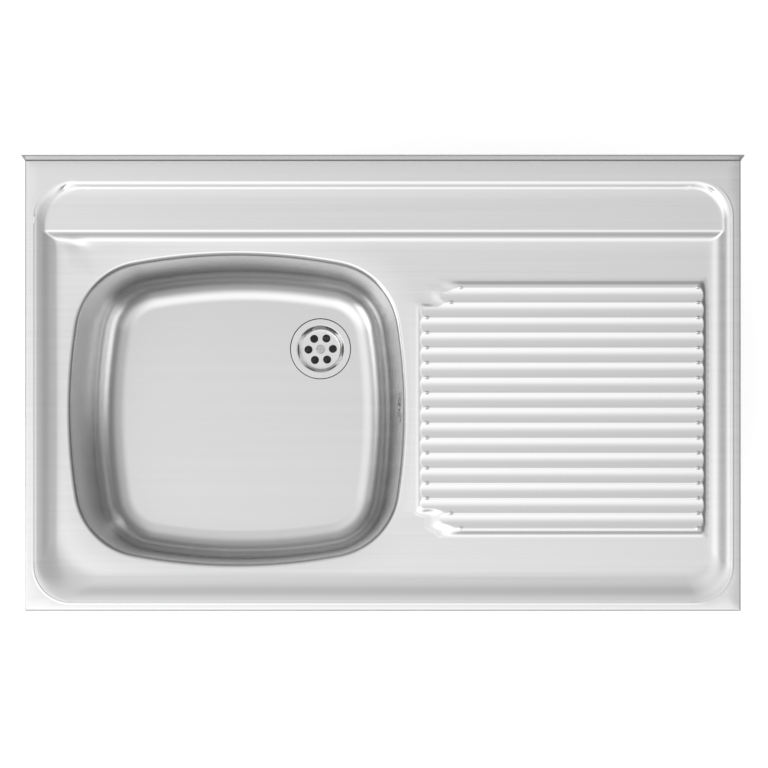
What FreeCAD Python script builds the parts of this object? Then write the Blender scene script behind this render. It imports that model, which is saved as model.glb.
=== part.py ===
import FreeCAD
import Part
import math
import os
from FreeCAD import Vector

# Kitchen sink with drainboard, laid on top of a base cabinet. Millimetres.
# X runs right, Y runs back to the wall, Z runs up. The origin is the middle of the rear rail's
# underside, so Z = 0 is the plane of the cabinet's top edges.

# pressed top
sheet = 0.8  # stainless sheet of the top and the bowl
deck_width = 800.0
deck_depth = 500.0  # front edge to the back of the upstand
deck_rise = 24.0  # cabinet top to the top of the border
skirt_height = 30.0  # turned-down edges, from the top of the border
edge_radius = 2.0  # outside radius of the turned-down edges
upstand_height = 28.0  # above the border
upstand_radius = 3.0  # inside radius at the foot of the upstand
upstand_fold = 1.5  # outside radius at its top
upstand_lip = 5.7  # folded back to the wall along its top
upstand_lip_drop = 4.0  # turned down again at the wall

# first recess: the ledge that runs round the deck
border_side = 11.0
border_front = 10.5
border_rear = 19.3
ledge_drop = 3.0
ledge_slope = 9.0
ledge_corner = 40.0
step_softness = 0.7  # 0 gives straight slopes, 1 slopes that start and end level
step_sections = 6

# second recess: the tray that holds the bowl and the drain field
tray_left = 24.0  # upper rim of the tray's slope to the deck's edge
tray_front = 25.2
tray_right = 27.0
tray_rear = 73.7
tray_drop = 5.0
tray_slope_right = 11.0
tray_slope_rear = 13.0
tray_land = 1.0  # flat between the slope's foot and the bowl's rolled edge
tray_corner_right = 34.0
tray_corner_left = 62.0
tray_corner_spread = 12.0  # how much tighter the corners are at the slope's foot

# bowl
bowl_left = 51.0  # mouth to the deck's left edge
bowl_front = 52.9  # mouth to the deck's front edge
bowl_rear = 102.4  # mouth to the deck's rear edge
bowl_width = 371.0
bowl_depth = 150.0  # tray to bowl floor
bowl_side_bow = 620.0  # radius of the bowed sides
bowl_corner = 79.0  # corner radius at the mouth
mouth_radius = 6.0  # rolled edge of the mouth
collar_height = 3.0  # straight collar under the rolled edge, down to the weld
floor_inset_x = 15.0  # how far the wall leans in from the weld to the floor
floor_inset_y = 6.0
floor_corner_spread = 11.0  # how much tighter the corners are at the floor
bowl_bottom_radius = 32.0
bottom_sections = 6  # outlines that shape the bottom curve

# waste
waste_from_bowl_x = 90.0  # waste centre from bowl centre
waste_from_bowl_y = 79.0
flange_radius = 35.0
flange_thickness = 1.0
flange_sink = 0.5  # flange's top under the bowl floor
waste_hole_radius = 30.0  # in the bowl floor
seat_margin = 2.5  # pressed seat beyond the flange
seat_taper = 2.5
dish_radius = 27.6  # inside, where the flange turns down
plate_radius = 23.3
dish_depth = 7.0
flange_edge = 0.4  # rounding of the flange's edges
dish_foot = 2.0  # rounding at the foot of the dish's wall
strainer_holes = 6
strainer_hole_radius = 4.8
strainer_hole_circle = 14.4
strainer_turn = 2.0  # degrees, place of the first hole
screw_radius = 2.9
screw_head_radius = 5.25
screw_head_height = 2.4
screw_length = 24.0
cross_length = 6.0  # cross recess in the screw's head
cross_width = 1.1
cross_depth = 1.5
screw_clearance = 0.3
seal_thickness = 1.0
gasket_thickness = 2.5

# waste body
body_flange_radius = 37.0
body_flange_thickness = 3.5
body_wall = 2.5
body_chamber_radius = 30.5  # inside
body_chamber_height = 34.0
body_cone_height = 10.0
tail_radius = 23.9  # outside, for a G 1 1/2 union nut
tail_bore = 20.5
tail_length = 38.0
boss_radius = 7.0
boss_height = 14.0
rib_count = 3
rib_thickness = 2.5
insert_radius = 4.5
insert_bore = 3.0
insert_height = 10.0
inlet_reach = 50.5  # waste axis to the end of the side inlet

# overflow
overflow_drop = 40.0  # tray to overflow axis
overflow_offset_y = 5.0  # from the bowl's centre line
overflow_seat_radius = 20.5
overflow_seat_depth = 1.0
overflow_hole_radius = 14.0
overflow_gasket_thickness = 2.0
rosette_radius = 18.0
rosette_thickness = 1.2
rosette_holes = 8
rosette_hole_radius = 1.9
rosette_hole_circle = 10.5
rosette_screw_radius = 2.4
rosette_head_radius = 4.5
rosette_head_height = 1.8
rosette_screw_length = 14.0
rosette_screw_gap = 0.05  # round the screw in the rosette and in the elbow's boss
elbow_radius = 19.5
elbow_wall = 2.2
elbow_depth = 30.0
elbow_boss_radius = 5.0
elbow_boss_gap = 5.0  # bowl side of the elbow to the boss
spigot_drop = 38.0  # overflow axis to the end of the spigot

# hose between the overflow and the waste, and its union nuts
hose_radius = 11.0
hose_bore = 9.0
hose_bend = 45.0
collar_radius = 12.5  # spigots and the hose's end collars
collar_thickness = 2.5
spigot_bore = 9.5
hose_seal = 1.5
nut_wall = 3.2
nut_grip = 12.0  # how far the nut reaches over the spigot
nut_lip = 2.5
nut_ribs = 12
nut_rib_radius = 0.9
fit_clearance = 0.3

# stiffeners and fixings
rail_gauge = 1.0
rail_flange = 8.0
rail_clearance = 2.0  # rail to the ledge's slope
front_rail_flange = 6.0
front_rail_width = 21.0
front_rail_wall = 14.5  # free rear wall
rear_rail_width = 22.0
rail_end_gap = 1.2  # rail end to the side edge
drain_rail_width = 60.0
drain_rail_flange = 14.0
drain_rail_depth = 12.0
drain_rail_end_gap = 2.0
panel_gap = 1.0  # side edge to cabinet panel
panel_thickness = 16.0  # cabinet side panel
bracket_gauge = 1.5
bracket_length = 32.0
bracket_bend = 2.5
bracket_drop = 46.0  # below the cabinet top
bracket_rise = 14.0  # above it, on the rail's side
bracket_foot = 2.0  # the short leg starts this far above the cabinet top
bracket_hole_count = 2
bracket_hole_radius = 2.75
bracket_hole_pitch = 20.0
bracket_hole_edge = 10.0  # lowest hole to the bracket's lower end
rivet_radius = 2.0
rivet_head_radius = 3.4
rivet_head_height = 1.2
rivet_pitch = 16.0
rivet_count = 2
rivet_clearance = 0.05

# drain field, raised from the tray and fluted
flute_pitch = 16.83
flute_radius = 24.0
field_height = 3.0
field_gap = 26.0  # bowl's mouth to the long ridges' left ends
field_right = 46.0  # ridge ends to the deck's right edge
field_front = 92.7  # first ridge to the deck's front edge
field_rear = 137.0  # last ridge to the deck's rear edge, at least
corner_steps = (38.0, 27.0)  # how much shorter the outermost ridge and the next one are
field_slope_side = 12.0
field_slope_end = 13.0

# sound pads
pad_thickness = 2.0
bowl_pad_width = 150.0
bowl_pad_length = 190.0
bowl_pad_shift = -45.0  # from the bowl's centre line, away from the waste
pad_corner = 12.0
drain_pad_gap = 8.0  # pad to the rail between the pads
drain_pad_inset = 25.0

# places that follow from the sizes
left_x = -deck_width / 2
right_x = deck_width / 2
back_y = border_rear + ledge_slope + rail_clearance + rail_flange + rear_rail_width / 2
wall_y = back_y + upstand_lip
front_y = back_y - deck_depth
top_z = deck_rise
ledge_z = top_z - ledge_drop
tray_z = ledge_z - tray_drop
crest_z = tray_z + field_height
skirt_z = top_z - skirt_height
front_rail_y = front_y + border_front - rail_clearance - rail_gauge
bowl_length = deck_depth - bowl_front - bowl_rear
bowl_x = left_x + bowl_left + bowl_width / 2
bowl_y = front_y + bowl_front + bowl_length / 2
seam_z = tray_z - mouth_radius - collar_height
floor_z = tray_z - bowl_depth
waste_x = bowl_x + waste_from_bowl_x
waste_y = bowl_y + waste_from_bowl_y
seat_radius = flange_radius + seat_margin
flange_top = floor_z - flange_sink
seat_z = flange_top - flange_thickness - seal_thickness
plate_top = flange_top - dish_depth
plate_bottom = plate_top - flange_thickness
body_top = seat_z - sheet - gasket_thickness
body_bottom = body_top - body_chamber_height
inlet_z = body_top - body_chamber_height / 2 - body_flange_thickness / 2
overflow_z = tray_z - overflow_drop
overflow_y = bowl_y + overflow_offset_y
wall_lean = math.atan(floor_inset_x / (seam_z - floor_z))
overflow_x = bowl_x + bowl_width / 2 - (seam_z - overflow_z) * math.tan(wall_lean)
overflow_back = overflow_seat_depth + sheet + overflow_gasket_thickness
hose_top = Vector(overflow_x + (overflow_back + elbow_depth / 2) * math.cos(wall_lean), overflow_y,
                  overflow_z - spigot_drop)
inlet_angle = math.atan2(overflow_y - waste_y, hose_top.x - waste_x)
inlet_way = Vector(math.cos(inlet_angle), math.sin(inlet_angle), 0)
hose_foot = Vector(waste_x, waste_y, inlet_z) + inlet_way * inlet_reach
field_x1 = bowl_x + bowl_width / 2 + field_gap
field_x2 = right_x - field_right
field_y1 = front_y + field_front
flute_count = int((deck_depth - field_front - field_rear) / flute_pitch)
field_y2 = field_y1 + flute_count * flute_pitch
drain_rail_x = (field_x1 + field_x2) / 2
flute_sagitta = flute_radius - math.sqrt(flute_radius ** 2 - (flute_pitch / 2) ** 2)
rail_end_x = right_x - sheet - rail_end_gap
panel_face_x = right_x - sheet - panel_gap - panel_thickness
spare = 1.0  # how far a cutting shape runs past what it cuts
down = Vector(0, 0, -1)
up = Vector(0, 0, 1)


def rounded_rectangle(x1, y1, x2, y2, radii, z):
    """Wire of lines and arcs; radii are for the corners (x1, y1), (x2, y1), (x2, y2), (x1, y2)."""
    corners = [(x1, y1, 180), (x2, y1, 270), (x2, y2, 0), (x1, y2, 90)]
    arcs = []
    for (x, y, start), radius in zip(corners, radii):
        cx = x + radius if x == x1 else x - radius
        cy = y + radius if y == y1 else y - radius
        points = []
        for turn in (0, 45, 90):
            angle = math.radians(start + turn)
            points.append(Vector(cx + radius * math.cos(angle), cy + radius * math.sin(angle), z))
        arcs.append(points)
    edges = []
    for i, points in enumerate(arcs):
        edges.append(Part.Arc(*points).toShape())
        edges.append(Part.LineSegment(points[2], arcs[(i + 1) % 4][0]).toShape())
    return Part.Wire(edges)


def bowed_outline(half_x, half_y, bow, corner, z):
    """Wire of four bowed sides and four corner arcs, all tangent, about the bowl's centre."""
    side_x = half_x - bow
    side_y = half_y - bow
    reach = bow - corner
    apart = math.hypot(side_x, side_y)
    height = math.sqrt(reach * reach - apart * apart / 4)
    corner_x = side_x / 2 - height * side_y / apart
    corner_y = side_y / 2 - height * side_x / apart
    side_angle = math.atan2(corner_y, corner_x - side_x)
    end_angle = math.atan2(corner_y - side_y, corner_x)
    right = (side_x, 0.0, bow, -side_angle, side_angle)
    first = (corner_x, corner_y, corner, side_angle, end_angle)
    rear = (0.0, side_y, bow, end_angle, math.pi - end_angle)
    second = (-corner_x, corner_y, corner, math.pi - end_angle, math.pi - side_angle)
    edges = []
    for half_turn in (0, math.pi):
        sign = math.cos(half_turn)
        for cx, cy, radius, start, end in (right, first, rear, second):
            points = []
            for angle in (start, (start + end) / 2, end):
                x = bowl_x + sign * (cx + radius * math.cos(angle))
                y = bowl_y + sign * (cy + radius * math.sin(angle))
                points.append(Vector(x, y, z))
            edges.append(Part.Arc(*points).toShape())
    return Part.Wire(edges)


def prism(wire, height):
    return Part.Face(wire).extrude(Vector(0, 0, height))


def box(x1, x2, y1, y2, z1, z2):
    return Part.makeBox(x2 - x1, y2 - y1, z2 - z1, Vector(x1, y1, z1))


def edges_at(shape, z):
    """Edges that lie in the plane at height z."""
    found = []
    for edge in shape.Edges:
        limits = edge.BoundBox
        if abs(limits.ZMin - z) < 1e-4 and abs(limits.ZMax - z) < 1e-4:
            found.append(edge)
    return found


def revolved(points, x, y):
    """Solid of revolution about the upright axis at x, y, from (radius, z) points."""
    outline = [Vector(x + radius, y, z) for radius, z in points]
    outline.append(outline[0])
    face = Part.Face(Part.makePolygon(outline))
    return face.revolve(Vector(x, y, 0), up, 360)


def sloped_pocket(rim_margins, foot_margins, radii, tighter, top, depth):
    """Pocket with S-curved sides. Margins run left, front, right, rear from the deck's edges."""
    wires = []
    for i in range(step_sections + 1):
        share = i / step_sections
        fall = share - step_softness * math.sin(2 * math.pi * share) / (2 * math.pi)
        margins = [rim + (foot - rim) * share for rim, foot in zip(rim_margins, foot_margins)]
        left, front, right, rear = margins
        inner = [radius - tighter * share for radius in radii]
        wires.append(rounded_rectangle(left_x + left, front_y + front, right_x - right,
                                       back_y - rear, inner, top - depth * fall))
    return Part.makeLoft(wires, True)


def ledge_pocket(z):
    rim = (border_side, border_front, border_side, border_rear)
    foot = [margin + ledge_slope for margin in rim]
    return sloped_pocket(rim, foot, [ledge_corner] * 4, ledge_slope, z, ledge_drop)


def tray_pocket(z):
    rim = (tray_left, tray_front, tray_right, tray_rear)
    foot = (bowl_left - mouth_radius - tray_land, bowl_front - mouth_radius - tray_land,
            tray_right + tray_slope_right, tray_rear + tray_slope_rear)
    radii = [tray_corner_left, tray_corner_right, tray_corner_right, tray_corner_left]
    return sloped_pocket(rim, foot, radii, tray_corner_spread, z, tray_drop)


def field_outline(side, end, z):
    """Outline of the drain field, stepped at its left corners, moved out by side and end."""
    half = flute_pitch / 2
    front = []
    for i, step in enumerate(corner_steps):
        front.append((field_x1 + step - side, field_y1 + (i - 1) * flute_pitch + half))
        front.append((field_x1 + step - side, field_y1 + i * flute_pitch + half))
    front[0] = (front[0][0], field_y1)
    both_ends = field_y1 + field_y2
    left = [(x, y - end) for x, y in front]
    rear = [(x, both_ends - y + end) for x, y in reversed(front)]
    last = field_y1 + (len(corner_steps) - 1) * flute_pitch + half - end
    points = left + [(field_x1 - side, last), (field_x1 - side, both_ends - last)] + rear
    points += [(field_x2 + side / 2, field_y2 + end), (field_x2 + side / 2, field_y1 - end)]
    corners = [Vector(x, y, z) for x, y in points]
    return Part.makePolygon(corners + corners[:1])


def drain_field(lift):
    """Raised field with one cylindrical flute between each pair of ridges."""
    base = tray_z + lift
    crest = crest_z + lift
    rim = field_outline(0, 0, crest)
    foot = field_outline(field_slope_side, field_slope_end, base)
    field = Part.makeLoft([foot, rim], True, True)
    length = field_x2 - field_x1 + 4 * field_slope_side
    start = field_x1 - 2 * field_slope_side
    for i in range(flute_count):
        y = field_y1 + (i + 0.5) * flute_pitch
        centre = Vector(start, y, crest - flute_sagitta + flute_radius)
        field = field.cut(Part.makeCylinder(flute_radius, length, centre, Vector(1, 0, 0)))
    return field


def deck_mass(inset):
    """Everything under the top's upper face; inset moves every face inward by the sheet."""
    top = top_z - inset
    rear = back_y - upstand_radius - sheet
    mass = box(left_x + inset, right_x - inset, front_y + inset, rear + inset,
               skirt_z - inset, top)
    rims = []
    for edge in edges_at(mass, top):
        if edge.BoundBox.YMin < rear + inset - 1e-4:
            rims.append(edge)
    mass = mass.makeFillet(edge_radius - inset, rims)
    mass = mass.cut(ledge_pocket(top))
    mass = mass.cut(tray_pocket(ledge_z - inset))
    mass = mass.fuse(drain_field(-inset))
    mouth = bowed_outline(bowl_width / 2 + inset, bowl_length / 2 + inset, bowl_side_bow,
                          bowl_corner + inset, tray_z - inset)
    hole = prism(mouth, skirt_z - tray_z - spare)
    mass = mass.cut(hole)
    rim = []
    for edge in edges_at(mass, tray_z - inset):
        middle = edge.BoundBox.Center
        inside_x = abs(middle.x - bowl_x) < bowl_width / 2 + inset + spare
        inside_y = abs(middle.y - bowl_y) < bowl_length / 2 + inset + spare
        if inside_x and inside_y:
            rim.append(edge)
    return mass.makeFillet(mouth_radius - inset, rim)


def upstand():
    """Bend, upstand and the lip that its top folds back to the wall."""
    outer = upstand_radius + sheet
    y = back_y - outer
    front = back_y - sheet
    top = top_z + upstand_height
    centre_z = top_z + upstand_radius
    fold_y = front + upstand_fold
    fold_z = top - upstand_fold
    edges = [
        side_line(y, top_z - sheet, y, top_z),
        side_arc(y, centre_z, upstand_radius, 270, 360),
        side_line(front, centre_z, front, fold_z),
        side_arc(fold_y, fold_z, upstand_fold, 180, 90),
        side_line(fold_y, top, wall_y, top),
        side_line(wall_y, top, wall_y, top - upstand_lip_drop),
        side_line(wall_y, top - upstand_lip_drop, wall_y - sheet, top - upstand_lip_drop),
        side_line(wall_y - sheet, top - upstand_lip_drop, wall_y - sheet, top - sheet),
        side_line(wall_y - sheet, top - sheet, fold_y, top - sheet),
        side_arc(fold_y, fold_z, upstand_fold - sheet, 90, 180),
        side_line(back_y, fold_z, back_y, centre_z),
        side_arc(y, centre_z, outer, 360, 270),
    ]
    return Part.Face(Part.Wire(edges)).extrude(Vector(deck_width, 0, 0))


def side_line(y1, z1, y2, z2):
    """Line in the plane of the left edge."""
    return Part.LineSegment(Vector(left_x, y1, z1), Vector(left_x, y2, z2)).toShape()


def side_arc(y, z, radius, start, end):
    """Arc about y, z in the plane of the left edge, between two angles in degrees."""
    points = []
    for turn in (start, (start + end) / 2, end):
        angle = math.radians(turn)
        points.append(Vector(left_x, y + radius * math.cos(angle), z + radius * math.sin(angle)))
    return Part.Arc(*points).toShape()


def sink_top():
    pressed = deck_mass(0).cut(deck_mass(sheet))
    below_seam = box(bowl_x - bowl_width, bowl_x + bowl_width, bowl_y - bowl_length,
                     bowl_y + bowl_length, skirt_z - spare, seam_z)
    inner = box(left_x + sheet, right_x - sheet, front_y + sheet, back_y, skirt_z - spare, seam_z)
    pressed = pressed.cut(below_seam.common(inner))
    return pressed.fuse(upstand()).removeSplitter()


def bowl_section(grow, round_turn):
    """Outline of the bowl where its bottom curve has turned from the wall by round_turn degrees."""
    radius = bowl_bottom_radius + grow
    turn = math.radians(round_turn)
    z = floor_z - grow + radius * (1 - math.sin(turn))
    return bowl_outline(grow, z, radius * (1 - math.cos(turn)))


def bowl_outline(grow, z, inset):
    """Outline of the leaning walls at height z, moved in by inset."""
    share = (seam_z - z) / (seam_z - floor_z + grow)
    half_x = bowl_width / 2 + grow - floor_inset_x * share - inset
    half_y = bowl_length / 2 + grow - floor_inset_y * share - inset
    corner = bowl_corner + grow - floor_corner_spread * share - inset
    return bowed_outline(half_x, half_y, bowl_side_bow - inset, corner, z)


def bowl_mass(grow):
    """The bowl's space, grown outward by the sheet for its outer side."""
    walls = Part.makeLoft([bowl_outline(grow, seam_z, 0), bowl_section(grow, 0)], True, True)
    turns = [90 * i / bottom_sections for i in range(bottom_sections + 1)]
    bottom = Part.makeLoft([bowl_section(grow, turn) for turn in turns], True)
    mass = walls.fuse(bottom)
    seat = seat_z - grow
    step = floor_z - seat_z
    slope = seat_taper * (1 + grow / step)
    mass = mass.fuse(revolved([(0, floor_z), (seat_radius + slope, floor_z), (seat_radius, seat), (0, seat)],
                              waste_x, waste_y))
    disc = Part.makeCylinder(overflow_seat_radius + grow, 3 * overflow_seat_depth + grow,
                             Vector(-2 * overflow_seat_depth, 0, 0), Vector(1, 0, 0))
    return mass.fuse(at_overflow(disc))


def at_overflow(shape):
    """Move a shape from the origin, outward along X, to the overflow's seat on the leaning wall."""
    turned = shape.rotated(Vector(0, 0, 0), Vector(0, 1, 0), math.degrees(wall_lean))
    return turned.translated(Vector(overflow_x, overflow_y, overflow_z))


def rod(radius, start, end):
    """Cylinder along X between two places on the overflow's axis."""
    return Part.makeCylinder(radius, end - start, Vector(start, 0, 0), Vector(1, 0, 0))


def tube(outer, inner, length, start, way):
    """Round tube from a point along a direction."""
    bore = Part.makeCylinder(inner, length, start, way)
    return Part.makeCylinder(outer, length, start, way).cut(bore)


def round_pattern(shape, count, x, y, first):
    """Copies of a shape, turned evenly about an upright axis."""
    return [shape.rotated(Vector(x, y, 0), up, first + i * 360 / count) for i in range(count)]


def bowl():
    shell = bowl_mass(sheet).cut(bowl_mass(0))
    drain = Part.makeCylinder(waste_hole_radius, bowl_depth, Vector(waste_x, waste_y, floor_z), down)
    shell = shell.cut(drain)
    return shell.cut(at_overflow(rod(overflow_hole_radius, 0, overflow_back)))


def strainer_cup():
    outer = dish_radius + flange_thickness
    lower = flange_top - flange_thickness
    profile = [(flange_radius, flange_top), (dish_radius, flange_top), (plate_radius, plate_top),
               (0, plate_top), (0, plate_bottom), (plate_radius + flange_thickness / 2, plate_bottom),
               (outer, lower), (flange_radius, lower)]
    cup = revolved(profile, waste_x, waste_y)
    cup = cup.makeFillet(flange_edge, edges_at(cup, flange_top))
    cup = cup.makeFillet(dish_foot, edges_at(cup, plate_top))
    above = plate_top + spare
    hole = Part.makeCylinder(strainer_hole_radius, dish_depth,
                             Vector(waste_x + strainer_hole_circle, waste_y, above), down)
    for cutter in round_pattern(hole, strainer_holes, waste_x, waste_y, strainer_turn):
        cup = cup.cut(cutter)
    centre = Part.makeCylinder(screw_radius + screw_clearance, dish_depth,
                               Vector(waste_x, waste_y, above), down)
    return cup.cut(centre)


def strainer_screw():
    start = Vector(waste_x, waste_y, plate_top)
    head = Part.makeCylinder(screw_head_radius, screw_head_height, start)
    head = head.makeFillet(screw_head_height / 2, edges_at(head, plate_top + screw_head_height))
    head_top = plate_top + screw_head_height
    for turn in (0, 90):
        slot = box(waste_x - cross_length / 2, waste_x + cross_length / 2, waste_y - cross_width / 2,
                   waste_y + cross_width / 2, head_top - cross_depth, head_top)
        head = head.cut(slot.rotated(start, up, turn))
    return head.fuse(Part.makeCylinder(screw_radius, screw_length, start, down))


def flange_seal():
    return tube(flange_radius, waste_hole_radius, seal_thickness, Vector(waste_x, waste_y, seat_z), up)


def waste_gasket():
    return tube(body_flange_radius, body_chamber_radius, gasket_thickness,
                Vector(waste_x, waste_y, body_top), up)


def waste_body():
    wall = body_chamber_radius + body_wall
    cone_end = body_bottom - body_cone_height
    tail_end = cone_end - tail_length
    profile = [(body_chamber_radius, body_top), (body_flange_radius, body_top),
               (body_flange_radius, body_top - body_flange_thickness),
               (wall, body_top - body_flange_thickness), (wall, body_bottom), (tail_radius, cone_end),
               (tail_radius, tail_end), (tail_bore, tail_end), (tail_bore, cone_end),
               (body_chamber_radius, body_bottom)]
    body = revolved(profile, waste_x, waste_y)
    axis = Vector(waste_x, waste_y, inlet_z)
    start = body_chamber_radius - body_wall
    inside = Part.makeCylinder(body_chamber_radius, body_chamber_height,
                               Vector(waste_x, waste_y, body_bottom))
    inlet = Part.makeCylinder(collar_radius, inlet_reach - start, axis + inlet_way * start, inlet_way)
    body = body.fuse(inlet.cut(inside))
    body = body.cut(Part.makeCylinder(spigot_bore, inlet_reach, axis, inlet_way))
    rib = box(waste_x, waste_x + body_chamber_radius + body_wall / 2, waste_y - rib_thickness / 2,
              waste_y + rib_thickness / 2, plate_bottom - boss_height, plate_bottom)
    half_gap = 180 / rib_count
    for spoke in round_pattern(rib, rib_count, waste_x, waste_y, math.degrees(inlet_angle) + half_gap):
        body = body.fuse(spoke)
    top = Vector(waste_x, waste_y, plate_bottom)
    body = body.fuse(Part.makeCylinder(boss_radius, boss_height, top, down))
    body = body.cut(Part.makeCylinder(insert_radius, insert_height, top, down))
    return body.cut(Part.makeCylinder(screw_radius + screw_clearance, boss_height, top, down))


def insert_nut():
    return tube(insert_radius, insert_bore, insert_height, Vector(waste_x, waste_y, plate_bottom), down)


def overflow_rosette():
    back = overflow_seat_depth
    disc = rod(rosette_radius, back - rosette_thickness, back)
    rim = [edge for edge in disc.Edges if abs(edge.BoundBox.XMax - back + rosette_thickness) < 1e-6]
    disc = disc.makeFillet(rosette_thickness / 2, rim[:1])
    for i in range(rosette_holes):
        hole = rod(rosette_hole_radius, -back - rosette_thickness, back + spare)
        hole.translate(Vector(0, 0, rosette_hole_circle))
        disc = disc.cut(hole.rotated(Vector(0, 0, 0), Vector(1, 0, 0), i * 360 / rosette_holes))
    disc = disc.cut(rod(rosette_screw_radius + rosette_screw_gap, -back - rosette_thickness, back + spare))
    return at_overflow(disc)


def overflow_screw():
    seat = overflow_seat_depth - rosette_thickness
    head = rod(rosette_head_radius, seat - rosette_head_height, seat)
    rim = [edge for edge in head.Edges if abs(edge.BoundBox.XMax - seat + rosette_head_height) < 1e-6]
    head = head.makeFillet(rosette_head_height / 2, rim[:1])
    return at_overflow(head.fuse(rod(rosette_screw_radius, seat, seat + rosette_screw_length)))


def overflow_gasket():
    start = overflow_seat_depth + sheet
    ring = rod(elbow_radius, start, overflow_back).cut(rod(overflow_hole_radius, start, overflow_back))
    return at_overflow(ring)


def overflow_elbow():
    end = overflow_back + elbow_depth
    cup = at_overflow(rod(elbow_radius, overflow_back, end))
    space = at_overflow(rod(elbow_radius - elbow_wall, overflow_back, end - elbow_wall))
    spigot = Part.makeCylinder(collar_radius, spigot_drop, hose_top)
    bore = Part.makeCylinder(spigot_bore, spigot_drop, hose_top)
    boss = at_overflow(rod(elbow_boss_radius, overflow_back + elbow_boss_gap, end - elbow_wall / 2))
    bite = at_overflow(rod(rosette_screw_radius + rosette_screw_gap, overflow_back,
                           overflow_seat_depth + rosette_screw_length))
    body = cup.fuse(spigot.common(below_overflow())).cut(space).cut(bore)
    return body.fuse(boss).cut(bite)


def below_overflow():
    reach = elbow_depth + elbow_radius
    return box(overflow_x - reach, overflow_x + 3 * reach, overflow_y - reach, overflow_y + reach,
               hose_top.z - reach, overflow_z)


def overflow_hose():
    """Straight down from the elbow, one bend, then level into the waste body's inlet."""
    start = hose_top + down * hose_seal
    end = hose_foot + inlet_way * hose_seal
    corner = Vector(hose_top.x, hose_top.y, inlet_z)
    bend_start = corner + up * hose_bend
    bend_end = corner - inlet_way * hose_bend
    centre = corner + (up - inlet_way) * hose_bend
    middle = centre + (inlet_way - up) * hose_bend * math.sqrt(0.5)
    path = Part.Wire([Part.LineSegment(start, bend_start).toShape(),
                      Part.Arc(bend_start, middle, bend_end).toShape(),
                      Part.LineSegment(bend_end, end).toShape()])
    pipes = []
    for radius in (hose_radius, hose_bore):
        ring = Part.Wire([Part.makeCircle(radius, start, down)])
        pipes.append(path.makePipeShell([ring], True, False))
    collars = [(start, down), (end, inlet_way)]
    hose = pipes[0]
    for place, way in collars:
        hose = hose.fuse(Part.makeCylinder(collar_radius, collar_thickness, place, way))
    return hose.cut(pipes[1])


def hose_nut(end, way):
    """Ribbed union nut: it grips the spigot and its lip holds the hose's collar."""
    bore = collar_radius + fit_clearance
    outer = bore + nut_wall
    behind = hose_seal + collar_thickness
    length = nut_grip + behind + nut_lip
    nut = Part.makeCylinder(outer, length, Vector(0, 0, -nut_grip))
    for i in range(nut_ribs):
        angle = 2 * math.pi * i / nut_ribs
        place = Vector(outer * math.cos(angle), outer * math.sin(angle), -nut_grip)
        nut = nut.fuse(Part.makeCylinder(nut_rib_radius, length - nut_lip, place))
    nut = nut.cut(Part.makeCylinder(bore, nut_grip + behind, Vector(0, 0, -nut_grip)))
    nut = nut.cut(Part.makeCylinder(hose_radius + fit_clearance, length, Vector(0, 0, 0)))
    return aimed(nut, end, way)


def aimed(shape, place, way):
    """Turn a shape's Z axis along a direction and move it to a place."""
    shape.Placement = FreeCAD.Placement(place, FreeCAD.Rotation(up, way))
    return shape


def strip(points, gauge):
    """Closed outline of a bent strip: the points and their offset to the left."""
    offset = []
    for i, (u, v) in enumerate(points):
        normals = []
        for j in (i - 1, i):
            if 0 <= j < len(points) - 1:
                du = points[j + 1][0] - points[j][0]
                dv = points[j + 1][1] - points[j][1]
                length = math.hypot(du, dv)
                normals.append((-dv / length, du / length))
        (nu, nv), (mu, mv) = normals[0], normals[-1]
        scale = gauge / (1 + nu * mu + nv * mv)
        if len(normals) == 1:
            scale = gauge / 2
        offset.append((u + (nu + mu) * scale, v + (nv + mv) * scale))
    return points + offset[::-1]


def cross_rail(points):
    """Rail along X between the side edges, from (y, z) points."""
    corners = [Vector(-rail_end_x, y, z) for y, z in strip(points, rail_gauge)]
    return Part.Face(Part.makePolygon(corners + corners[:1])).extrude(Vector(2 * rail_end_x, 0, 0))


def front_rail():
    y = front_rail_y
    flange_z = top_z - sheet - rail_gauge
    rear = y + front_rail_width
    rail = cross_rail([(y - front_rail_flange + rail_gauge, flange_z), (y, flange_z), (y, 0),
                       (rear, 0), (rear, front_rail_wall)])
    return rivet_drilled(rail)


def rear_rail():
    half = rear_rail_width / 2
    flange_z = ledge_z - sheet - rail_gauge
    rail = cross_rail([(-half - rail_flange, flange_z), (-half, flange_z), (-half, 0), (half, 0),
                       (half, flange_z), (half + rail_flange, flange_z)])
    return rivet_drilled(rail)


def drainboard_rail():
    half = drain_rail_width / 2
    web = half - drain_rail_flange
    flange_z = tray_z - sheet - rail_gauge
    base = tray_z - sheet - drain_rail_depth
    points = strip([(-half, flange_z), (-web, flange_z), (-web, base), (web, base), (web, flange_z),
                    (half, flange_z)], rail_gauge)
    start = front_y + bowl_front - mouth_radius + drain_rail_end_gap
    end = back_y - tray_rear - tray_slope_rear - drain_rail_end_gap
    corners = [Vector(drain_rail_x + x, start, z) for x, z in points]
    return Part.Face(Part.makePolygon(corners + corners[:1])).extrude(Vector(0, end - start, 0))


def bracket_places():
    """(side, y of the rail's wall, way into the cabinet) for the four brackets, by name."""
    front_wall = front_rail_y + front_rail_width
    rear_wall = -rear_rail_width / 2
    return {"front_left": (-1, front_wall, 1), "front_right": (1, front_wall, 1),
            "rear_left": (-1, rear_wall, -1), "rear_right": (1, rear_wall, -1)}


def rivet_spots(side):
    middle = panel_face_x - bracket_length / 2 - bracket_gauge
    z = (bracket_foot + bracket_rise) / 2
    spots = []
    for i in range(rivet_count):
        spots.append((side * (middle + (i - (rivet_count - 1) / 2) * rivet_pitch), z))
    return spots


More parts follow.
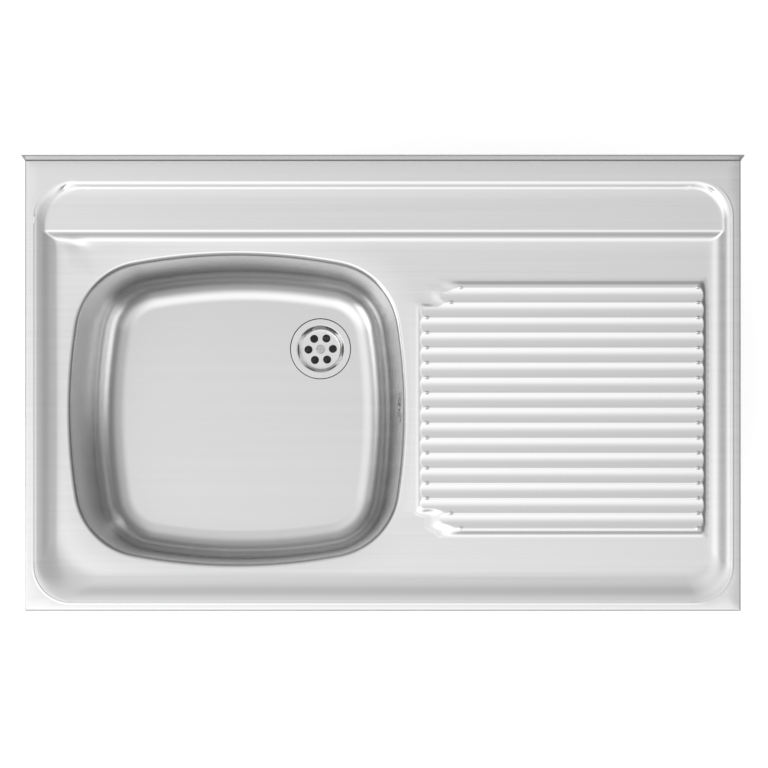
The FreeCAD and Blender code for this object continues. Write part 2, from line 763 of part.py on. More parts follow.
def rivet_drilled(shape):
    """Cut the rivet holes of every bracket through a rail or a bracket."""
    reach = rail_gauge + bracket_gauge
    for side, wall, way in bracket_places().values():
        for x, z in rivet_spots(side):
            drill = Part.makeCylinder(rivet_radius + rivet_clearance, 2 * reach,
                                      Vector(x, wall - way * reach, z), Vector(0, way, 0))
            shape = shape.cut(drill)
    return shape


def bracket(side, wall, way):
    """Angle bracket: the short leg lies on the rail's wall, the long one on the cabinet panel."""
    face = side * panel_face_x
    inner = face - side * bracket_gauge
    far_x = face - side * bracket_length
    near_y = wall + way * bracket_gauge
    far_y = wall + way * bracket_length
    short = box(min(face, far_x), max(face, far_x), min(wall, near_y), max(wall, near_y),
                bracket_foot, bracket_rise)
    tall = box(min(face, inner), max(face, inner), min(wall, far_y), max(wall, far_y),
               -bracket_drop, bracket_rise)
    angle = short.fuse(tall).removeSplitter()
    corner = [edge for edge in angle.Edges
              if abs(edge.BoundBox.Center.x - inner) < 1e-6 and abs(edge.BoundBox.Center.y - near_y) < 1e-6]
    angle = angle.makeFillet(bracket_bend - bracket_gauge, corner)
    for i in range(bracket_hole_count):
        z = -bracket_drop + bracket_hole_edge + i * bracket_hole_pitch
        start = Vector(face + side, bracket_hole_y(wall, way), z)
        angle = angle.cut(Part.makeCylinder(bracket_hole_radius, 4 * bracket_gauge, start,
                                            Vector(-side, 0, 0)))
    return rivet_drilled(angle)


def bracket_hole_y(wall, way):
    return wall + way * (bracket_gauge + bracket_length) / 2


def bracket_rivets():
    """Two rivets in each bracket: shank, outer head and the head inside the rail."""
    rivets = []
    for side, wall, way in bracket_places().values():
        axis = Vector(0, way, 0)
        for x, z in rivet_spots(side):
            outer = Vector(x, wall + way * bracket_gauge, z)
            inner = Vector(x, wall - way * rail_gauge, z)
            rivet = Part.makeCylinder(rivet_radius, rail_gauge + bracket_gauge, inner, axis)
            rivet = rivet.fuse(Part.makeCylinder(rivet_head_radius, rivet_head_height, outer, axis))
            tail = Part.makeCone(rivet_head_radius, rivet_radius, rivet_head_height, inner, axis * -1)
            rivets.append(rivet.fuse(tail))
    return Part.makeCompound(rivets)


def bowl_sound_pad():
    x = bowl_x + bowl_pad_shift
    half_x = bowl_pad_width / 2
    half_y = bowl_pad_length / 2
    outline = rounded_rectangle(x - half_x, bowl_y - half_y, x + half_x, bowl_y + half_y,
                                [pad_corner] * 4, floor_z - sheet)
    return prism(outline, -pad_thickness)


def drainboard_sound_pads():
    """One pad on each side of the stiffener, against the flutes' lowest lines."""
    z = crest_z - flute_sagitta - sheet
    y1 = field_y1 + drain_pad_inset
    y2 = field_y2 - drain_pad_inset
    near = drain_rail_width / 2 + drain_pad_gap
    far = (field_x2 - field_x1) / 2 - drain_pad_inset
    pads = []
    for x1, x2 in ((drain_rail_x - far, drain_rail_x - near), (drain_rail_x + near, drain_rail_x + far)):
        pads.append(prism(rounded_rectangle(x1, y1, x2, y2, [pad_corner] * 4, z), -pad_thickness))
    return Part.makeCompound(pads)


def hose_seal_ring(end, way):
    return tube(collar_radius, spigot_bore, hose_seal, end, way)


parts = {
    "sink_top": sink_top(),
    "bowl": bowl(),
    "bowl_sound_pad": bowl_sound_pad(),
    "drainboard_sound_pads": drainboard_sound_pads(),
    "front_rail": front_rail(),
    "rear_rail": rear_rail(),
    "drainboard_rail": drainboard_rail(),
    "bracket_rivets": bracket_rivets(),
    "strainer_cup": strainer_cup(),
    "strainer_screw": strainer_screw(),
    "flange_seal": flange_seal(),
    "waste_gasket": waste_gasket(),
    "waste_body": waste_body(),
    "insert_nut": insert_nut(),
    "overflow_rosette": overflow_rosette(),
    "overflow_screw": overflow_screw(),
    "overflow_gasket": overflow_gasket(),
    "overflow_elbow": overflow_elbow(),
    "overflow_hose": overflow_hose(),
    "upper_hose_nut": hose_nut(hose_top, down),
    "lower_hose_nut": hose_nut(hose_foot, inlet_way),
    "upper_hose_seal": hose_seal_ring(hose_top, down),
    "lower_hose_seal": hose_seal_ring(hose_foot, inlet_way),
}
for place, seat in bracket_places().items():
    parts[place + "_bracket"] = bracket(*seat)

os.makedirs("parts", exist_ok=True)
for name, shape in parts.items():
    shape.exportStep("parts/" + name + ".step")
    print(name, len(shape.Solids), "solid(s), valid:", shape.isValid(), "mm3:", round(shape.Volume))
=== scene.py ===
import math

import bpy
import numpy as np
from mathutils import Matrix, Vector
from mathutils.geometry import delaunay_2d_cdt
from mathutils.kdtree import KDTree


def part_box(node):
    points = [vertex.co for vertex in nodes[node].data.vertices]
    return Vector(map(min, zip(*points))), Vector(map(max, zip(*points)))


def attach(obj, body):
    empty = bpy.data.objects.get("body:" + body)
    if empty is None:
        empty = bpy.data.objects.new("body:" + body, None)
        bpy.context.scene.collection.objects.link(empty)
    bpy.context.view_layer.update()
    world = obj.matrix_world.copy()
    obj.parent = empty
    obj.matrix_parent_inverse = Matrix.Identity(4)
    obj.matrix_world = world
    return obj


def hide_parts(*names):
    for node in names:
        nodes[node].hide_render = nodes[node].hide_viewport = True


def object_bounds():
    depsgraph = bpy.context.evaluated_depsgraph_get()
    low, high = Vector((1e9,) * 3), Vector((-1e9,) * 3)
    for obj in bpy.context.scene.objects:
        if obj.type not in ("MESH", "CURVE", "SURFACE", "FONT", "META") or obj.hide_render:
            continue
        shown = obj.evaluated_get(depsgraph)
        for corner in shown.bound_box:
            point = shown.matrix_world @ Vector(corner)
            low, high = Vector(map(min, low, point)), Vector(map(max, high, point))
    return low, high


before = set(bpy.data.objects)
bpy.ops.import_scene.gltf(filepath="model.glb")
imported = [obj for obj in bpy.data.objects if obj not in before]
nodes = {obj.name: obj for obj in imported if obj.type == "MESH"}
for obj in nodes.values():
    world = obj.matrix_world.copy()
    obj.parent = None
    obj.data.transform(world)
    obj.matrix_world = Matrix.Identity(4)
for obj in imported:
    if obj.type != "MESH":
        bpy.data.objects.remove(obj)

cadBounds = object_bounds()
mm = 0.001

# all sizes below are millimetres; u runs right from the deck's left edge, v back from its front edge
topLow, topHigh = [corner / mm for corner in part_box("sink_top")]
deck = {"sheet": 0.8, "depth": 500, "edgeRadius": 2, "upstand": 28, "wall": 503.4, "footRadius": 1.3,
        "lean": 0.8, "foldRadius": 0.9, "lipDrop": 4, "lipBevel": 0.5, "lipSheet": 0.45, "droop": 0.42,
        "droopReach": 9, "step": 8}
ledge = {"margins": (11, 10.5, 11, 19.3), "corner": 40, "drop": 3}
tray = {"foot": (44, 45.9, 38, 46), "corners": (52, 26, 26, 52), "drop": 5, "fieldFrom": 20}

width = topHigh.x - topLow.x
deck["skirt"] = topHigh.z - deck["upstand"] - topLow.z
deckZ = topHigh.z - deck["upstand"]
trayZ = deckZ - ledge["drop"] - tray["drop"]

stepEase = 0.7  # how much a soft step levels out at its two ends, 1 for fully


def softStep(share):
    share = np.clip(share, 0, 1)
    return share - stepEase * np.sin(2 * np.pi * share) / (2 * np.pi)


def pressedFall(share):
    # steep soon after the rim, then a long soft foot
    share = np.clip(share, 0, 1)
    return 1 - (1 - share) ** 3 * (1 + 3 * share)


def smoothMin(a, b, blend):
    return np.minimum(a, b) - np.maximum(blend - np.abs(a - b), 0) ** 2 / (4 * blend)


def roundedDistance(u, v, margins, corners):
    left, front, right, rear = margins
    u1, v1, u2, v2 = left, front, width - right, deck["depth"] - rear
    middleU, middleV = (u1 + u2) / 2, (v1 + v2) / 2
    radius = np.where(u < middleU, np.where(v < middleV, corners[0], corners[3]),
                      np.where(v < middleV, corners[1], corners[2]))
    du = np.abs(u - middleU) - (u2 - u1) / 2 + radius
    dv = np.abs(v - middleV) - (v2 - v1) / 2 + radius
    return np.hypot(np.maximum(du, 0), np.maximum(dv, 0)) + np.minimum(np.maximum(du, dv), 0) - radius


def slopeSection(share):
    margins = [rim + (foot - rim) * share for rim, foot in zip(ledge["margins"], tray["foot"])]
    return margins, [ledge["corner"] + (radius - ledge["corner"]) * share for radius in tray["corners"]]


def slopeShare(u, v):
    low, high = np.zeros_like(u), np.ones_like(u)
    for _ in range(18):
        middle = (low + high) / 2
        inside = roundedDistance(u, v, *slopeSection(middle)) < 0
        low, high = np.where(inside, middle, low), np.where(inside, high, middle)
    return low


mouth = {"left": 51, "front": 52.9, "width": 371, "length": 344.7, "bow": 620, "corner": 79,
         "roll": 6, "collar": 3, "sidePoints": 40, "cornerPoints": 34, "drawIn": 0.5, "drawReach": 33,
         "rollRings": 10}
basin = {"depth": 150, "insetX": 15, "insetY": 6, "tighter": 11, "round": 32,
         "wallRings": 30, "roundRings": 16}
bowlU = mouth["left"] + mouth["width"] / 2
bowlV = mouth["front"] + mouth["length"] / 2
seamZ = trayZ - mouth["roll"] - mouth["collar"]
floorZ = trayZ - basin["depth"]


def bowedArcs(inset, share):
    # four bowed sides and four corners, all tangent, as (centre u, centre v, radius, start, end)
    halfU = mouth["width"] / 2 - basin["insetX"] * share - inset
    halfV = mouth["length"] / 2 - basin["insetY"] * share - inset
    bow = mouth["bow"] - inset
    corner = mouth["corner"] - basin["tighter"] * share - inset
    sideU, sideV = halfU - bow, halfV - bow
    apart = math.hypot(sideU, sideV)
    height = math.sqrt((bow - corner) ** 2 - apart ** 2 / 4)
    cornerU = sideU / 2 - height * sideV / apart
    cornerV = sideV / 2 - height * sideU / apart
    sideAngle = math.atan2(cornerV, cornerU - sideU)
    endAngle = math.atan2(cornerV - sideV, cornerU)
    quarter = [(sideU, 0, bow, -sideAngle, sideAngle), (cornerU, cornerV, corner, sideAngle, endAngle),
               (0, sideV, bow, endAngle, math.pi - endAngle),
               (-cornerU, cornerV, corner, math.pi - endAngle, math.pi - sideAngle)]
    opposite = [(-cu, -cv, r, a + math.pi, b + math.pi) for cu, cv, r, a, b in quarter]
    return quarter + opposite


def bowedRing(inset, share=0):
    # points and outward directions round the bowl, as many on every ring
    points, ways = [], []
    for i, (cu, cv, radius, start, end) in enumerate(bowedArcs(inset, share)):
        count = mouth["cornerPoints"] if i % 2 else mouth["sidePoints"]
        angles = start + (end - start) * np.arange(count) / count
        way = np.stack([np.cos(angles), np.sin(angles)], 1)
        points.append(way * radius + (bowlU + cu, bowlV + cv))
        ways.append(way)
    return np.concatenate(points), np.concatenate(ways)


def mouthDistance(u, v):
    right, corner, rear = bowedArcs(0, 0)[:3]
    x, y = np.abs(u - bowlU), np.abs(v - bowlV)
    angle = np.arctan2(y - corner[1], x - corner[0])
    nearCorner = np.hypot(x - corner[0], y - corner[1]) - corner[2]
    nearSide = np.hypot(x - right[0], y) - right[2]
    nearRear = np.hypot(x, y - rear[1]) - rear[2]
    distance = np.where(angle < corner[3], nearSide, np.where(angle > corner[4], nearRear, nearCorner))
    return np.where((x < corner[0]) & (y < corner[1]), np.maximum(nearSide, nearRear), distance)


# the drain field: ridges with flutes between them; its left corners step back over two ridges each
field = {"gap": 26, "right": 46, "front": 92.7, "pitch": 16.83, "count": 16, "flute": 28, "height": 3,
         "steps": (38, 27), "side": 13, "stepSide": 26, "end": 10.5, "rightSlope": 8, "ridge": 0.7,
         "soft": 0.5, "crown": 0.3, "brim": 0.35, "foot": 0.4}
# the raised tip at each ridge's end
tip = {"height": 0.55, "reach": 1.9, "across": 1.3, "fromLeft": 1, "fromRight": 1.5}
fieldLeft = mouth["left"] + mouth["width"] + field["gap"]
fieldRight = width - field["right"]
fieldRear = field["front"] + field["count"] * field["pitch"]


def fieldHeight(u, v):
    starts = [(fieldLeft, 1.5), (fieldLeft + field["steps"][1], 0.5), (fieldLeft + field["steps"][0], 0)]
    share = np.full_like(u, -9.0)  # far outside
    for start, skipped in starts:
        v1 = field["front"] + skipped * field["pitch"]
        v2 = fieldRear - skipped * field["pitch"]
        side = field["side"] if skipped > 1 else field["stepSide"]
        sides = [1 + (u - start) / side, 1 + (fieldRight - u) / field["rightSlope"],
                 1 + (v - v1) / field["end"], 1 + (v2 - v) / field["end"]]
        step = sides[0]
        for other in sides[1:]:
            step = smoothMin(step, other, field["soft"])
        share = -smoothMin(-share, -step, field["soft"])
    turn = (v - field["front"]) / field["pitch"]
    inRows = (turn > 0) & (turn < field["count"])
    toRidge = field["pitch"] * (0.5 - np.abs(turn - np.floor(turn) - 0.5))

    def groove(fromRidge):
        across = field["pitch"] / 2 - fromRidge
        deepest = np.sqrt(field["flute"] ** 2 - (field["pitch"] / 2) ** 2)
        return deepest - np.sqrt(field["flute"] ** 2 - across ** 2)

    edge = field["ridge"]
    slope = (groove(edge + 0.01) - groove(edge)) / 0.01
    rounded = groove(edge) + slope * (toRidge ** 2 - edge ** 2) / (2 * edge)
    depth = np.where(toRidge < edge, rounded, groove(np.maximum(toRidge, edge)))
    depth = np.where(inRows, depth, groove(edge) - slope * edge / 2)
    top = field["height"] + depth
    crowned = softStep(share) + field["crown"] * np.clip(share - 1, 0, 1) + np.minimum(share, 0)
    plateau = field["height"] * crowned
    # each ridge ends in a small raised tip
    ridge = np.clip(np.round(turn), 0, field["count"])
    fromEnd = np.minimum(ridge, field["count"] - ridge)
    stepBack = np.where(fromEnd < 0.5, field["steps"][0], np.where(fromEnd < 1.5, field["steps"][1], 0))
    leftEnd = fieldLeft + stepBack
    toTip = np.minimum(np.abs(u - leftEnd - tip["fromLeft"]), np.abs(u - fieldRight + tip["fromRight"]))
    offRidge = v - field["front"] - ridge * field["pitch"]
    tips = tip["height"] * np.exp(-(toTip / tip["reach"]) ** 2 - (offRidge / tip["across"]) ** 2)
    raised = smoothMin(plateau, top, field["brim"])
    return -smoothMin(-raised, np.zeros_like(u), field["foot"]) + tips


stair = {"rim": 73.7, "length": 15, "softDrop": 0.9, "softLength": 34, "spare": 0.25, "blend": 0.9,
         "rise": 1.0, "riseReach": 22}
bead = {"height": 0.32, "width": 3.2, "rearFade": 40}
# small dents that the press leaves: place (u, v), half length, half width, turn in degrees, depth
dents = [(57, 409, 12, 6, -12, 0.9), (43, 472.5, 5.5, 1.7, 40, 0.9), (767, 470.5, 4.5, 1.6, -38, 0.8)]


def deckHeight(u, v):
    # one slope all round falls to the tray; across the rear it stops at the ledge and its stair
    ledgeIn = -roundedDistance(u, v, ledge["margins"], [ledge["corner"]] * 4)
    fallen = pressedFall(slopeShare(u, v))
    slope = deckZ - (deckZ - trayZ) * fallen
    below = deck["depth"] - stair["rim"] - v
    steep = (tray["drop"] - stair["softDrop"]) * pressedFall(below / stair["length"])
    soft = (stair["softDrop"] + stair["spare"]) * pressedFall(below / stair["softLength"])
    plateau = deckZ - ledge["drop"] - steep - soft
    behind = (deck["depth"] - ledge["margins"][3] - v) / stair["riseReach"]
    plateau = plateau + stair["rise"] * (1 - np.clip(behind, 0, 1)) ** 2
    blend = stair["blend"]
    z = -smoothMin(-slope, -plateau, blend) - (blend - stair["spare"]) ** 2 / (4 * blend) * fallen
    for middleU, middleV, reach, narrow, turn, depth in dents:
        c, s = math.cos(math.radians(turn)), math.sin(math.radians(turn))
        along = ((u - middleU) * c + (v - middleV) * s) / reach
        athwart = ((v - middleV) * c - (u - middleU) * s) / narrow
        z = z - depth * np.exp(-along ** 2 - athwart ** 2)
    edgeIn = np.minimum(np.minimum(u, width - u), v)
    z = z - deck["droop"] * np.clip(1 - edgeIn / deck["droopReach"], 0, 1) ** 2
    fade = np.clip((deck["depth"] - ledge["margins"][3] - v) / bead["rearFade"], 0, 1)
    across = (ledgeIn + bead["width"] / 2) / (bead["width"] / 2)
    z = z + bead["height"] * fade * np.where(np.abs(across) < 1, (1 + np.cos(np.pi * across)) / 2, 0)
    z = z + np.where(ledgeIn > tray["fieldFrom"], fieldHeight(u, v), 0)
    # the sheet is drawn in a little round the mouth
    out = mouthDistance(u, v)
    near = np.clip(1 - (out - mouth["roll"]) / mouth["drawReach"], 0, 1)
    z = z - mouth["drawIn"] * near ** 3
    out = np.clip(out, 0, mouth["roll"])
    return z - mouth["roll"] + np.sqrt(mouth["roll"] ** 2 - (mouth["roll"] - out) ** 2)


def deckNormals(u, v):
    reach = 0.05
    du = (deckHeight(u + reach, v) - deckHeight(u - reach, v)) / (2 * reach)
    dv = (deckHeight(u, v + reach) - deckHeight(u, v - reach)) / (2 * reach)
    normals = np.stack([-du, -dv, np.ones_like(u)], 1)
    return normals / np.linalg.norm(normals, axis=1)[:, None]


def roundedRing(margins, corners):
    left, front, right, rear = margins
    u1, v1, u2, v2 = left, front, width - right, deck["depth"] - rear
    places = [(u1, v1, 180, 1, 1), (u2, v1, 270, -1, 1), (u2, v2, 0, -1, -1), (u1, v2, 90, 1, -1)]
    arcs = []
    for (u, v, start, su, sv), radius in zip(places, corners):
        angles = np.radians(start + 90 * np.arange(meshing["corner"] + 1) / meshing["corner"])
        arcs.append(np.stack([u + su * radius + radius * np.cos(angles),
                              v + sv * radius + radius * np.sin(angles)], 1))
    points = []
    for i, arc in enumerate(arcs):
        points.append(arc)
        # straight runs share their marks, so that neighbouring rings line up
        first, last = arc[-1], arcs[(i + 1) % 4][0]
        axis = int(np.argmax(np.abs(last - first)))
        low, high = sorted((first[axis], last[axis]))
        marks = np.arange(math.ceil(low / deck["step"] + 0.3), high / deck["step"] - 0.3) * deck["step"]
        run = np.tile(first, (len(marks), 1))
        run[:, axis] = marks
        points.append(run)
    return np.concatenate(points)


def thinned(points, kept, gap):
    # the points that stay at least gap away from those kept
    tree = KDTree(len(kept))
    for i, (u, v) in enumerate(kept):
        tree.insert((u, v, 0), i)
    tree.balance()
    free = [tree.find((u, v, 0))[2] > gap for u, v in points]
    return points[np.array(free)]


# where the deck's mesh has its points: close where it bends, wide where it is flat
meshing = {"border": (100, 62), "corner": 22, "bead": (3.8, 3, 2.4, 1.8, 1.2, 0.6),
           "slope": ((0, 0.3, 0.03), (0.3, 1.09, 0.06)), "lip": (0, 0.6, 3), "lipGap": 0.8,
           "stair": (-4, 10, 1.1), "stairEnds": (21, 110, 90), "stairSteps": (2.2, 7.0),
           "fieldStart": -14, "fieldPast": 8, "fieldSteps": (1.4, 1.0, 9.0), "fieldGaps": (4, 10),
           "fieldEnds": (-14, -12, -10, -8, -6, -4, -2.2), "fieldReach": 15,
           "ridge": (-5.6, -3.6, -2.2, -1.1, -0.5, 0, 0.5, 1.1, 2.2, 3.6, 5.6),
           "fillFrom": 6, "fillGap": 4, "calmReach": 5, "calmUp": 0.99999}


def gridPoints(us, vs):
    return np.stack(np.meshgrid(us, vs), -1).reshape(-1, 2)


def clearOfMouth(points, gap):
    return points[mouthDistance(points[:, 0], points[:, 1]) > mouth["roll"] + gap]


def fieldPoints():
    past = meshing["fieldPast"]
    start = field["steps"][0] + past
    leftStep, rightStep, middleStep = meshing["fieldSteps"]
    leftGap, rightGap = meshing["fieldGaps"]
    us = np.concatenate([fieldLeft + np.arange(meshing["fieldStart"], start, leftStep),
                         fieldRight - np.arange(-past, past, rightStep),
                         np.arange(fieldLeft + start + leftGap, fieldRight - rightGap, middleStep)])
    vs = [field["front"] + row for row in meshing["fieldEnds"]]
    vs += [fieldRear - row for row in meshing["fieldEnds"]]
    for i in range(field["count"] + 1):
        ridge = field["front"] + i * field["pitch"]
        vs += [ridge + offset for offset in meshing["ridge"]]
        vs.append(ridge + field["pitch"] / 2)
    reach = meshing["fieldReach"]
    vs = [v for v in sorted(set(vs)) if field["front"] - reach < v < fieldRear + reach]
    return gridPoints(np.array(sorted(us)), np.array(vs))


def stairPoints():
    near, far, step = meshing["stair"]
    first, last, right = meshing["stairEnds"]
    fine, coarse = meshing["stairSteps"]
    vs = deck["depth"] - stair["rim"] - np.arange(near, stair["length"] + far, step)
    us = np.concatenate([np.arange(first, last, fine), np.arange(last, width - right, coarse),
                         np.arange(width - right, width - first, fine)])
    return gridPoints(us, vs)


def fillPoints(edge, rear):
    us = np.arange(edge + meshing["fillFrom"], width - edge, deck["step"])
    vs = np.arange(edge + meshing["fillFrom"], rear, deck["step"])
    fill = clearOfMouth(gridPoints(us, vs), meshing["lip"][2])
    calm = np.ones(len(fill), bool)
    reach = meshing["calmReach"]
    for du, dv in ((0, 0), (reach, 0), (-reach, 0), (0, reach), (0, -reach)):
        calm &= deckNormals(fill[:, 0] + du, fill[:, 1] + dv)[:, 2] > meshing["calmUp"]
    return fill[calm]


def deckPoints():
    rear = deck["wall"] - deck["footRadius"]
    edge = deck["edgeRadius"]
    us = np.linspace(edge, width - edge, meshing["border"][0])
    vs = np.linspace(edge, rear, meshing["border"][1])
    border = [np.stack([us, np.full_like(us, edge)], 1), np.stack([us, np.full_like(us, rear)], 1),
              np.stack([np.full_like(vs, edge), vs], 1)[1:-1],
              np.stack([np.full_like(vs, width - edge), vs], 1)[1:-1]]
    rings = []
    for out in meshing["bead"]:
        margins = [margin - out for margin in ledge["margins"]]
        rings.append(roundedRing(margins, [ledge["corner"] + out] * 4))
    for share in np.concatenate([np.arange(*span) for span in meshing["slope"]]):
        rings.append(roundedRing(*slopeSection(share)))
    rings = clearOfMouth(np.concatenate(rings), meshing["lipGap"])
    lips = [bowedRing(-mouth["roll"] - out)[0] for out in meshing["lip"]]
    kept = np.concatenate(border + [lips[0], lips[1], thinned(lips[2], rings, 0.5), rings])
    # each patch keeps only the points that stay clear of those before it
    for points, gap in ((stairPoints(), 0.6), (fieldPoints(), 0.45)):
        points = clearOfMouth(points, meshing["lip"][2])
        kept = np.concatenate([kept, thinned(points, kept, gap)])
    return np.concatenate([kept, thinned(fillPoints(edge, rear), kept, meshing["fillGap"])])


def triangles(points):
    result = delaunay_2d_cdt([Vector(point) for point in points.tolist()], [], [], 0, 1e-5)
    flat = np.array([list(vertex) for vertex in result[0]])
    faces = np.array(result[2])
    corners = flat[faces]
    turned = np.cross(corners[:, 1] - corners[:, 0], corners[:, 2] - corners[:, 0]) < 0
    faces[turned] = faces[turned][:, ::-1]
    return flat, faces


def offsetShell(vertices, faces, normals, thickness):
    # the surface, its copy on the other side of the sheet, and the walls along its open edges
    count = len(vertices)
    seen = {}
    for face in faces:
        for a, b in zip(face, face[1:] + face[:1]):
            seen[(a, b)] = True
    walls = [(b, a, a + count, b + count) for a, b in seen if (b, a) not in seen]
    back = [tuple(i + count for i in reversed(face)) for face in faces]
    return (np.concatenate([vertices, vertices - normals * thickness]), faces + back + walls,
            np.concatenate([normals, -normals]))


def makePiece(name, vertices, faces, material, normals=None, slot=None, replaced=()):
    mesh = bpy.data.meshes.new(name)
    placed = np.array(vertices, float) * mm
    mesh.from_pydata(placed.tolist(), [], [tuple(int(i) for i in face) for face in faces])
    mesh.polygons.foreach_set("use_smooth", [True] * len(mesh.polygons))
    uv = mesh.uv_layers.new(name="grain")
    corners = np.empty(len(mesh.loops), int)
    mesh.loops.foreach_get("vertex_index", corners)
    uv.data.foreach_set("uv", placed[corners][:, :2].ravel())
    if normals is not None:
        mesh.normals_split_custom_set_from_vertices(np.asarray(normals).tolist())
    mesh.materials.append(material)
    piece = bpy.data.objects.new(name, mesh)
    bpy.context.scene.collection.objects.link(piece)
    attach(piece, "root")
    if replaced:
        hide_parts(*replaced)
    return piece


def toRow(points, z):
    # deck coordinates to the part's own frame, still in millimetres
    return np.stack([points[:, 0] + topLow.x, points[:, 1] + topLow.y, z], 1)


def ringFaces(rings, count, first=0):
    faces = []
    for i in range(rings - 1):
        for j in range(count):
            k = (j + 1) % count
            a, b = first + i * count, first + (i + 1) * count
            faces.append((a + j, a + k, b + k, b + j))
    return faces


def circlePoints(count):
    turns = np.linspace(0, 2 * np.pi, count, endpoint=False)
    return np.stack([np.cos(turns), np.sin(turns)], 1)


def withFlat(vertices, faces, normals, flat, flatFaces, z):
    # a level patch added to a piece
    first = len(vertices)
    faces = faces + [tuple(int(i) + first for i in face) for face in flatFaces]
    vertices = np.concatenate([vertices, np.column_stack([flat, np.full(len(flat), z)])])
    return vertices, faces, np.concatenate([normals, np.tile([0.0, 0.0, 1.0], (len(flat), 1))])


def welded(vertices, faces, normals):
    # one vertex where several meet
    _, first, where = np.unique(np.round(vertices, 3), axis=0, return_index=True, return_inverse=True)
    where = where.ravel()
    joined = [tuple(dict.fromkeys(int(where[i]) for i in face)) for face in faces]
    return vertices[first], [face for face in joined if len(face) > 2], normals[first]


def deckSheet():
    flat, faces = triangles(deckPoints())
    centres = flat[faces].mean(1)
    faces = faces[mouthDistance(centres[:, 0], centres[:, 1]) > mouth["roll"]]
    vertices = toRow(flat, deckHeight(flat[:, 0], flat[:, 1]))
    normals = deckNormals(flat[:, 0], flat[:, 1])
    faces = [tuple(face) for face in faces.tolist()]
    rollVertices, rollNormals = [], []
    turns = np.linspace(90, 0, mouth["rollRings"])
    # the last ring, None, is the collar's lower edge, where the bowl begins
    for turn in list(turns) + [None]:
        angle = math.radians(turn or 0)
        outline, ways = bowedRing(-mouth["roll"] * (1 - math.cos(angle)))
        z = trayZ - mouth["roll"] * (1 - math.sin(angle)) if turn is not None else seamZ
        drawn = mouth["drawIn"] * math.sin(angle) if turn is not None else 0
        rollVertices.append(toRow(outline, np.full(len(outline), float(z - drawn))))
        rollNormals.append(np.column_stack([-ways * math.cos(angle), np.full(len(ways), math.sin(angle))]))
    count = len(rollVertices[0])
    roll = ringFaces(len(rollVertices), count, len(vertices))
    return welded(np.concatenate([vertices] + rollVertices), faces + roll,
                  np.concatenate([normals] + rollNormals))


def profileRun(points, runs):
    # a closed outline carried along runs, a list of functions from a point to its place in 3D
    vertices, faces = [], []
    for run in runs:
        vertices += [run(a, b) for a, b in points]
    count = len(points)
    for i in range(len(runs) - 1):
        for j in range(count):
            k = (j + 1) % count
            faces.append((i * count + j, i * count + k, (i + 1) * count + k, (i + 1) * count + j))
    faces.append(tuple(range(count - 1, -1, -1)))
    faces.append(tuple(range((len(runs) - 1) * count, len(runs) * count)))
    return vertices, faces


def arcPoints(a, b, radius, start, end, count=8):
    turns = np.radians(np.linspace(start, end, count + 1))
    return [(a + radius * math.cos(t), b + radius * math.sin(t)) for t in turns]


def edgeProfile():
    # across a turned-down edge: (distance in from the edge, height)
    radius, sheet = deck["edgeRadius"], deck["sheet"]
    low = deckZ - deck["skirt"]
    top = deckZ - deck["droop"] * (1 - radius / deck["droopReach"]) ** 2
    outer = arcPoints(radius, top - radius, radius, 90, 180)
    inner = arcPoints(radius, top - radius, radius - sheet, 180, 90)
    return outer + [(0, low), (sheet, low)] + inner


def upstandProfile():
    # across the upstand: (distance back from the front edge, height); its inner side follows the sheet
    radius, sheet, fold = deck["footRadius"], deck["sheet"], deck["foldRadius"]
    front, top = deck["wall"], topHigh.z
    back = topHigh.y - topLow.y
    face = arcPoints(front - radius, deckZ + radius, radius, 270, 360)
    face += arcPoints(front + deck["lean"] + fold, top - fold, fold, 180, 90, 5)
    bevel, lip = deck["lipBevel"], back - deck["lipSheet"]
    face += [(back - bevel, top), (back, top - bevel), (back, top - deck["lipDrop"])]
    inner = [(lip, top - deck["lipDrop"]), (lip, top - sheet)]
    inner += [(front + deck["lean"] + sheet, top - sheet), (front + sheet, deckZ + radius)]
    return face + inner + arcPoints(front - radius, deckZ + radius, radius + sheet, 360, 270)


def shadeSmooth(piece, angle=35):
    piece.data.set_sharp_from_angle(angle=math.radians(angle))


def faceOutward(piece):
    # a closed piece with a negative volume is inside out
    first = piece.data.vertices[0].co
    if sum(f.area * f.normal.dot(f.center - first) for f in piece.data.polygons) < 0:
        piece.data.flip_normals()


def buildTop(material, upright):
    vertices, faces, normals = deckSheet()
    vertices, faces, normals = offsetShell(vertices, faces, normals, deck["sheet"])
    makePiece("pressedDeck", vertices, faces, material, normals, "satin_steel", ["sink_top"])
    low, left, right = topLow.y, topLow.x, topHigh.x
    rear = low + deck["wall"] - deck["footRadius"]
    runs = {
        "leftEdge": [lambda a, b: (left + a, low + a, b), lambda a, b: (left + a, rear, b)],
        "frontEdge": [lambda a, b: (left + a, low + a, b), lambda a, b: (right - a, low + a, b)],
        "rightEdge": [lambda a, b: (right - a, low + a, b), lambda a, b: (right - a, rear, b)],
    }
    pieces = []
    for name, run in runs.items():
        pieces.append(makePiece(name, *profileRun(edgeProfile(), run), material, slot="satin_steel"))
    run = [lambda a, b: (left, low + a, b), lambda a, b: (right, low + a, b)]
    # the upstand takes the darker finish, painted shade on the same steel as the deck
    pieces.append(makePiece("upstand", *profileRun(upstandProfile(), run), upright, slot="satin_steel"))
    for piece in pieces:
        faceOutward(piece)
        shadeSmooth(piece)


# the shallow seat for the strainer's flange, placed from the bowl's centre, and the overflow's recess
seat = {"x": 90, "y": 79, "radius": 35.3, "taper": 0.7, "hole": 30, "drop": 2.5, "steps": 6, "around": 96}
overflow = {"drop": 40, "shift": 5, "radius": 20.5, "depth": 1, "softRim": 1.5, "hole": 14, "reach": 30}
floorGrid = {"step": 9, "fromSeat": 4, "fromWall": 6}
drain = (topLow.x + bowlU + seat["x"], topLow.y + bowlV + seat["y"])


